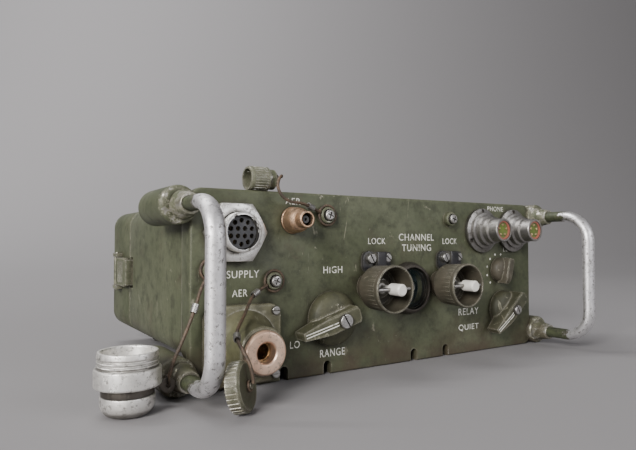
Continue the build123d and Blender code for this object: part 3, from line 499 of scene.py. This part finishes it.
PLAIN_NODES = {
    "handle_left": SILVER, "handle_right": SILVER,
    "power_connector_insert": INSERT_GREY, "audio_inserts": INSERT_GREEN,
    "connector_contacts": BRASS, "coax_insulator": INSERT_GREY, "antenna_contacts": BRASS, "dial_lens": GLASS,
    "dial_mask": DIAL_FACE, "dial_disc_left": DIAL_FACE, "dial_disc_right": DIAL_FACE, "band_spindle": STEEL,
    "function_spindle": STEEL, "capacitor_rotor": GREY_METAL, "panel_screws": STEEL, "preset_cam_left": STEEL,
    "preset_cam_right": STEEL, "rear_feet": RUBBER, "chassis": GREY_METAL, "control_switches": CARD,
    "circuit_modules": BOARD, "battery_connector": BRASS, "battery_pack": CARD, "case_seals": SEAL,
    "lanyard_crimps": STEEL, "whip_cap": PAINT_WORN, "coax_cap": PAINT_WORN,
}


CONNECTOR_BORE = 8.95       # millimetres, a hair over the connector shell's bore radius
POST_RADIUS = 3.4           # millimetres, a hair over the finger post's radius
POST_WHITE_LENGTH = 13.0    # millimetres of ivory behind the knob's front edge


def darken_bore(piece, radius):
    """Paints shade into the connector shell's bore and keyways: their faces get black plastic."""
    low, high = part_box("power_connector_shell")
    middle = (low + high) / 2
    piece.data.materials.append(BLACK)
    for face in piece.data.polygons:
        reach = [piece.data.vertices[i].co - middle for i in face.vertices]
        if max(Vector((v.x, v.z)).length for v in reach) < radius * MM:
            face.material_index = 1


def dress_post(node, knob):
    """Ivory finger post on a steel shaft with a steel crossbar, told apart by distance from the axis."""
    middle = centre(knob)
    white_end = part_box(knob)[0].y + POST_WHITE_LENGTH * MM
    mesh = nodes[node].data
    mesh.materials.clear()
    mesh.materials.append(STEEL)
    mesh.materials.append(POST_WHITE)
    for face in mesh.polygons:
        reach = [mesh.vertices[i].co - middle for i in face.vertices]
        slim = max(Vector((v.x, v.z)).length for v in reach) < POST_RADIUS * MM
        face.material_index = 1 if slim and face.center.y < white_end else 0


def dress_nodes():
    """Rounds the outer pieces' edges and gives every carried-over node its material."""
    for node, (material, bevel) in FINE_NODES.items():
        piece = refine(node, bevel)
        piece.data.materials.append(material)
        if node == "power_connector_shell":
            # painted shade inside the connector's bore
            darken_bore(piece, CONNECTOR_BORE)
    screws = {name: STEEL for name in nodes if name.startswith("captive_screw_")}
    for node, material in (PLAIN_NODES | screws).items():
        nodes[node].data.materials.clear()
        nodes[node].data.materials.append(material)
    for side in ("left", "right"):
        dress_post("tuning_post_" + side, "tuning_knob_" + side)


dress_nodes()

# ---------------------------------------------------------------- lanyards
# Places are in millimetres: x, the distance out from the panel's face, and z.
WIRE = 1.6
LOOP_RADIUS = 5.6
LOOP_OUT = 2.0
LOOP_THICK = 0.7
EYE_THICK = 0.5
ROUTES = {
    "lanyard_whip": [(-87.9, 3.0, 51.0), (-92.6, 4.0, 48.9), (-97.4, 5.6, 46.4), (-101.6, 9.4, 42.0),
                     (-106.4, 14.8, 37.8), (-111.8, 21.4, 34.8), (-116.2, 28.2, 32.6), (-118.8, 34.8, 30.4),
                     (-118.7, 40.4, 27.0), (-116.9, 43.2, 22.0), (-115.8, 43.9, 17.3), (-115.3, 43.8, 13.4)],
    "lanyard_power": [(-121.4, 3.0, 54.8), (-124.2, 4.2, 50.4), (-126.6, 6.0, 44.6), (-129.6, 7.6, 38.0),
                      (-132.9, 8.6, 31.0), (-136.4, 9.8, 24.4), (-140.0, 11.2, 18.2), (-141.5, 11.9, 12.8)],
    "lanyard_coax": [(-55.5, 3.0, 89.7), (-60.0, 4.4, 91.0), (-65.0, 5.8, 92.8), (-70.6, 7.0, 94.0),
                     (-76.6, 7.6, 94.0), (-81.6, 7.4, 96.6), (-84.0, 6.6, 101.4), (-82.4, 5.2, 106.2),
                     (-78.8, 2.4, 108.6), (-76.9, -2.0, 108.2)],
}
SCREWS = {"lanyard_whip": "captive_screw_near_whip", "lanyard_power": "captive_screw_near_power",
          "lanyard_coax": "captive_screw_near_coax"}
# Each cap's eye: its middle, the direction it faces and its radius.
EYES = {"lanyard_whip": ((-116.3, 42.6, 12.3), (0.70, -0.69, 0.19), 2.3),
        "lanyard_power": ((-141.5, 10.3, 11.2), (1, 0, 0), 2.3),
        "lanyard_coax": ((-78.9, -4.6, 106.5), (1, 0, 0), 2.8)}


def wire_loop(name, middle, normal, radius, thick):
    """A closed loop of lanyard wire round a collar or a stud; radius and thick are in millimetres."""
    turn = Vector(normal).to_track_quat("Z", "Y").to_matrix()
    count = 12
    angles = [2 * pi * i / count for i in range(count)]
    ring = [middle + turn @ Vector((radius * cos(a), radius * sin(a), 0)) * MM for a in angles]
    return add_piece(name, curve_data(name, ring, thick * MM, closed=True), ROOT, CORD)


def make_lanyards():
    """The lanyards, each with a loop round its panel screw and an eye at its cap."""
    for name, route in ROUTES.items():
        points = [at_panel(*place) for place in route]
        wire = curve_data(name + "_cord", points, WIRE / 2 * MM)
        piece = add_piece(name + "_cord", wire, ROOT, CORD)
        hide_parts(name)
        screw = centre(SCREWS[name])
        collar = Vector((screw.x, PANEL_Y - LOOP_OUT * MM, screw.z))
        loop = wire_loop(name + "_loop", collar, (0, 1, 0), LOOP_RADIUS, LOOP_THICK)
        place, normal, radius = EYES[name]
        eye = wire_loop(name + "_eye", at_panel(*place), normal, radius, EYE_THICK)


make_lanyards()


# ---------------------------------------------------------------- printed words and marks
# Sizes and places are in millimetres.
PRINT_OUT = 0.06
DIAL_HEIGHT = 45.0
COARSE_WINDOW_X = 2.2
FINE_WINDOW_X = 22.0
HAIRLINE_X = 11.0
HAIRLINE_REACH = 11.0
HAIRLINE_DEPTH = 4.0
DOT_CIRCLE = 11.4
DOT_RADIUS = 0.75
POINTER_FLAT = 6.0      # the knob's top is flat this far from its axis
POINTER_FALL = 0.16     # and then falls by this share of its height to the tip


def flat_text(name, words, x0, x1, z0, z1):
    """Painted words that fill a rectangle on the panel."""
    mesh = text_mesh(name, words)
    for vertex in mesh.vertices:
        u, v, lift = vertex.co
        vertex.co = at_panel(x0 + (x1 - x0) * u, PRINT_OUT, z0 + (z1 - z0) * v) + Vector((0, -lift, 0))
    return add_piece(name, mesh, ROOT, LETTERS)


def text_mesh(name, words):
    """Words as a thin mesh that fills the unit square; its third coordinate is the thickness."""
    data = bpy.data.curves.new(name, "FONT")
    data.body = words
    data.size = 0.01
    data.space_character = 1.12
    data.offset = 0.00002
    data.extrude = 0.00002
    mesh = bake_mesh(name, link(name, data))
    low = Vector([min(v.co[i] for v in mesh.vertices) for i in range(2)])
    high = Vector([max(v.co[i] for v in mesh.vertices) for i in range(2)])
    size = high - low
    for vertex in mesh.vertices:
        u, v, lift = vertex.co
        vertex.co = ((u - low.x) / size.x, (v - low.y) / size.y, lift)
    return mesh


def number_ring(name, disc, body, window, size, numbers):
    """Numbers round a dial disc, each upright when it stands behind its window opening."""
    low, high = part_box(disc)
    middle = (low + high) / 2
    work = bmesh.new()
    for index, number in enumerate(numbers):
        mesh = text_mesh(name, number)
        turn = radians(360 * index / len(numbers))
        for vertex in mesh.vertices:
            u, v, lift = vertex.co
            right = (window[0] + (u - 0.5) * size[0]) * MM - middle.x
            up = (window[1] + (v - 0.5) * size[1]) * MM - middle.z
            vertex.co = Vector((middle.x + right * cos(turn) - up * sin(turn), low.y - PRINT_OUT * MM - lift,
                                middle.z + right * sin(turn) + up * cos(turn)))
        work.from_mesh(mesh)
        bpy.data.meshes.remove(mesh)
    ring = bpy.data.meshes.new(name)
    work.to_mesh(ring)
    work.free()
    return add_piece(name, ring, body, NUMERALS)


# Each word: its piece, the text, and its left, right, bottom and top on the panel.
WORDS = [
    ("word_supply", "SUPPLY", -109.0, -91.0, 55.0, 58.8),
    ("word_aerial_whip", "AER", -106.0, -97.6, 45.6, 49.2),
    ("word_aerial_coax", "AER", -75.6, -66.2, 93.4, 96.9), ("word_phones", "PHONE", 83.5, 99.6, 94.6, 97.8),
    ("word_lock_left", "LOCK", -20.0, -7.0, 72.0, 75.6), ("word_lock_right", "LOCK", 40.5, 53.5, 71.9, 75.6),
    ("word_channel", "CHANNEL", 3.6, 32.6, 74.1, 78.3), ("word_tuning", "TUNING", 6.0, 30.2, 67.6, 71.8),
    ("word_high", "HIGH", -51.4, -38.6, 55.8, 59.6), ("word_low", "LO", -72.6, -66.6, 16.4, 20.2),
    ("word_range", "RANGE", -53.6, -37.0, 9.6, 13.8), ("word_relay", "RELAY", 54.6, 73.6, 25.0, 29.4),
    ("word_quiet", "QUIET", 54.6, 73.6, 14.4, 18.8), ("word_level", "LEVEL", 99.5, 113.0, 66.6, 69.6),
]


def strip_mesh(name, paths, width):
    """Narrow ribbons along paths of (place, sideways direction) pairs, in one mesh."""
    mesh = bpy.data.meshes.new(name)
    work = bmesh.new()
    for path in paths:
        rows = [[work.verts.new(place + side * k * width / 2 * MM) for k in (-1, 1)] for place, side in path]
        for low, high in zip(rows, rows[1:]):
            work.faces.new((low[0], low[1], high[1], high[0]))
    work.to_mesh(mesh)
    work.free()
    return mesh


def pointer_lines(name, node, body, angle, height, start, tip):
    """Two white index lines from a pointer knob's screw to its tip; height is the knob's, over the panel."""
    middle = centre(node)
    along = Vector((cos(radians(angle)), 0, sin(radians(angle))))
    side = Vector((-along.z, 0, along.x))
    slope = height * POINTER_FALL / (tip - POINTER_FLAT)
    paths = []
    for shift in (-0.75, 0.75):
        path = []
        for reach in (start, POINTER_FLAT, tip - 0.9):
            out = height - slope * max(reach - POINTER_FLAT, 0) + PRINT_OUT
            place = Vector((middle.x, PANEL_Y - out * MM, middle.z)) + (along * reach + side * shift) * MM
            path.append((place, side))
        paths.append(path)
    add_piece(name, strip_mesh(name, paths, 0.6), body, LETTERS)


def disc_mesh(name, places, radius, y):
    """Flat round marks in one mesh."""
    mesh = bpy.data.meshes.new(name)
    work = bmesh.new()
    for x, z in places:
        spot = Matrix.Translation((x, y, z)) @ Matrix.Rotation(radians(90), 4, "X")
        bmesh.ops.create_circle(work, cap_ends=True, segments=14, radius=radius, matrix=spot)
    work.to_mesh(mesh)
    work.free()
    return mesh


def print_panel():
    """Words, dial numbers, the level knob's ring of dots and the pointers' index lines."""
    for entry in WORDS:
        flat_text(*entry)
    knob = centre("volume_knob")
    dots = [(knob.x + DOT_CIRCLE * MM * sin(radians(a)), knob.z + DOT_CIRCLE * MM * cos(radians(a)))
            for a in range(-135, 136, 30)]
    marks = disc_mesh("level_dots", dots, DOT_RADIUS * MM, PANEL_Y - PRINT_OUT * MM)
    add_piece("level_dots", marks, ROOT, LETTERS)
    number_ring("coarse_numbers", "dial_disc_left", "tuning_left", (COARSE_WINDOW_X, DIAL_HEIGHT), (5.0, 4.8),
                [str(n) for n in range(30, 54, 2)])
    number_ring("fine_numbers", "dial_disc_right", "tuning_right", (FINE_WINDOW_X, DIAL_HEIGHT), (4.8, 5.2),
                [f"{n:02d}" for n in range(0, 100, 10)])
    hairline = [(at_panel(HAIRLINE_X, -HAIRLINE_DEPTH, DIAL_HEIGHT + rise), Vector((1, 0, 0)))
                for rise in (-HAIRLINE_REACH, HAIRLINE_REACH)]
    add_piece("dial_hairline", strip_mesh("dial_hairline", [hairline], 0.8), ROOT, HAIRLINE)
    pointer_lines("band_index", "band_spindle", "band_selector", 197.0, 15.0, 4.3, 25.0)
    pointer_lines("function_index", "function_spindle", "function_selector", 221.6, 13.5, 3.5, 21.0)


print_panel()


# ---------------------------------------------------------------- floor and light
# The floor and backdrop, in metres, in the camera's direction.
FLOOR_HALF = 9.0
FLOOR_FRONT = -4.0
FLOOR_BACK = 0.9
FLOOR_GAP = 0.0002
BACKDROP_CURVE = 2.2
BACKDROP_TOP = 6.0


def make_stage():
    """Pale floor that rises into a plain backdrop far behind."""
    mesh = bpy.data.meshes.new("floor")
    work = bmesh.new()
    profile = [(FLOOR_FRONT, 0.0), (FLOOR_BACK, 0.0)]
    profile += [(FLOOR_BACK + BACKDROP_CURVE * sin(a), BACKDROP_CURVE - BACKDROP_CURVE * cos(a))
                for a in map(radians, range(10, 91, 10))]
    profile.append((FLOOR_BACK + BACKDROP_CURVE, BACKDROP_TOP))
    rows = [[work.verts.new((x, y, z - FLOOR_GAP)) for x in (-FLOOR_HALF, FLOOR_HALF)] for y, z in profile]
    for low, high in zip(rows, rows[1:]):
        work.faces.new((low[0], low[1], high[1], high[0])).smooth = True
    work.to_mesh(mesh)
    work.free()
    floor = link("floor", mesh)
    floor.rotation_euler = (0, 0, radians(-CAMERA_TURN))
    s = Shader("floor_grey")
    s.set(Base_Color=(0.235, 0.226, 0.230), Roughness=0.7)
    mesh.materials.append(s.material)


def area_light(name, place, target, size, power, colour=(1, 1, 1)):
    """A square soft light that points at a target."""
    data = bpy.data.lights.new(name, "AREA")
    data.size = size
    data.energy = power
    data.color = colour
    lamp = link(name, data)
    lamp.location = place
    lamp.rotation_euler = (Vector(target) - Vector(place)).to_track_quat("-Z", "Y").to_euler()


def make_lights():
    """Large key from the upper left, a weaker fill from the right, a light from above and one on the
    backdrop.
    """
    world = bpy.data.worlds.new("studio")
    bpy.context.scene.world = world
    world.use_nodes = True
    sky = world.node_tree.nodes["Background"].inputs
    sky["Color"].default_value = (0.84, 0.83, 0.84, 1)
    sky["Strength"].default_value = 0.27
    area_light("key", (-1.15, -0.80, 0.60), (0, 0, 0.04), 0.5, 30, (1.0, 0.985, 0.965))
    area_light("fill", (0.5, -1.2, 0.5), (0, 0, 0.05), 0.6, 6, (0.95, 0.96, 1.0))
    area_light("top", (-0.2, 0.25, 1.1), (0, 0, 0), 0.5, 5)
    area_light("backdrop", (-1.5, 0.9, 2.2), (0.2, 3.2, 2.0), 1.2, 185)


make_stage()
make_lights()
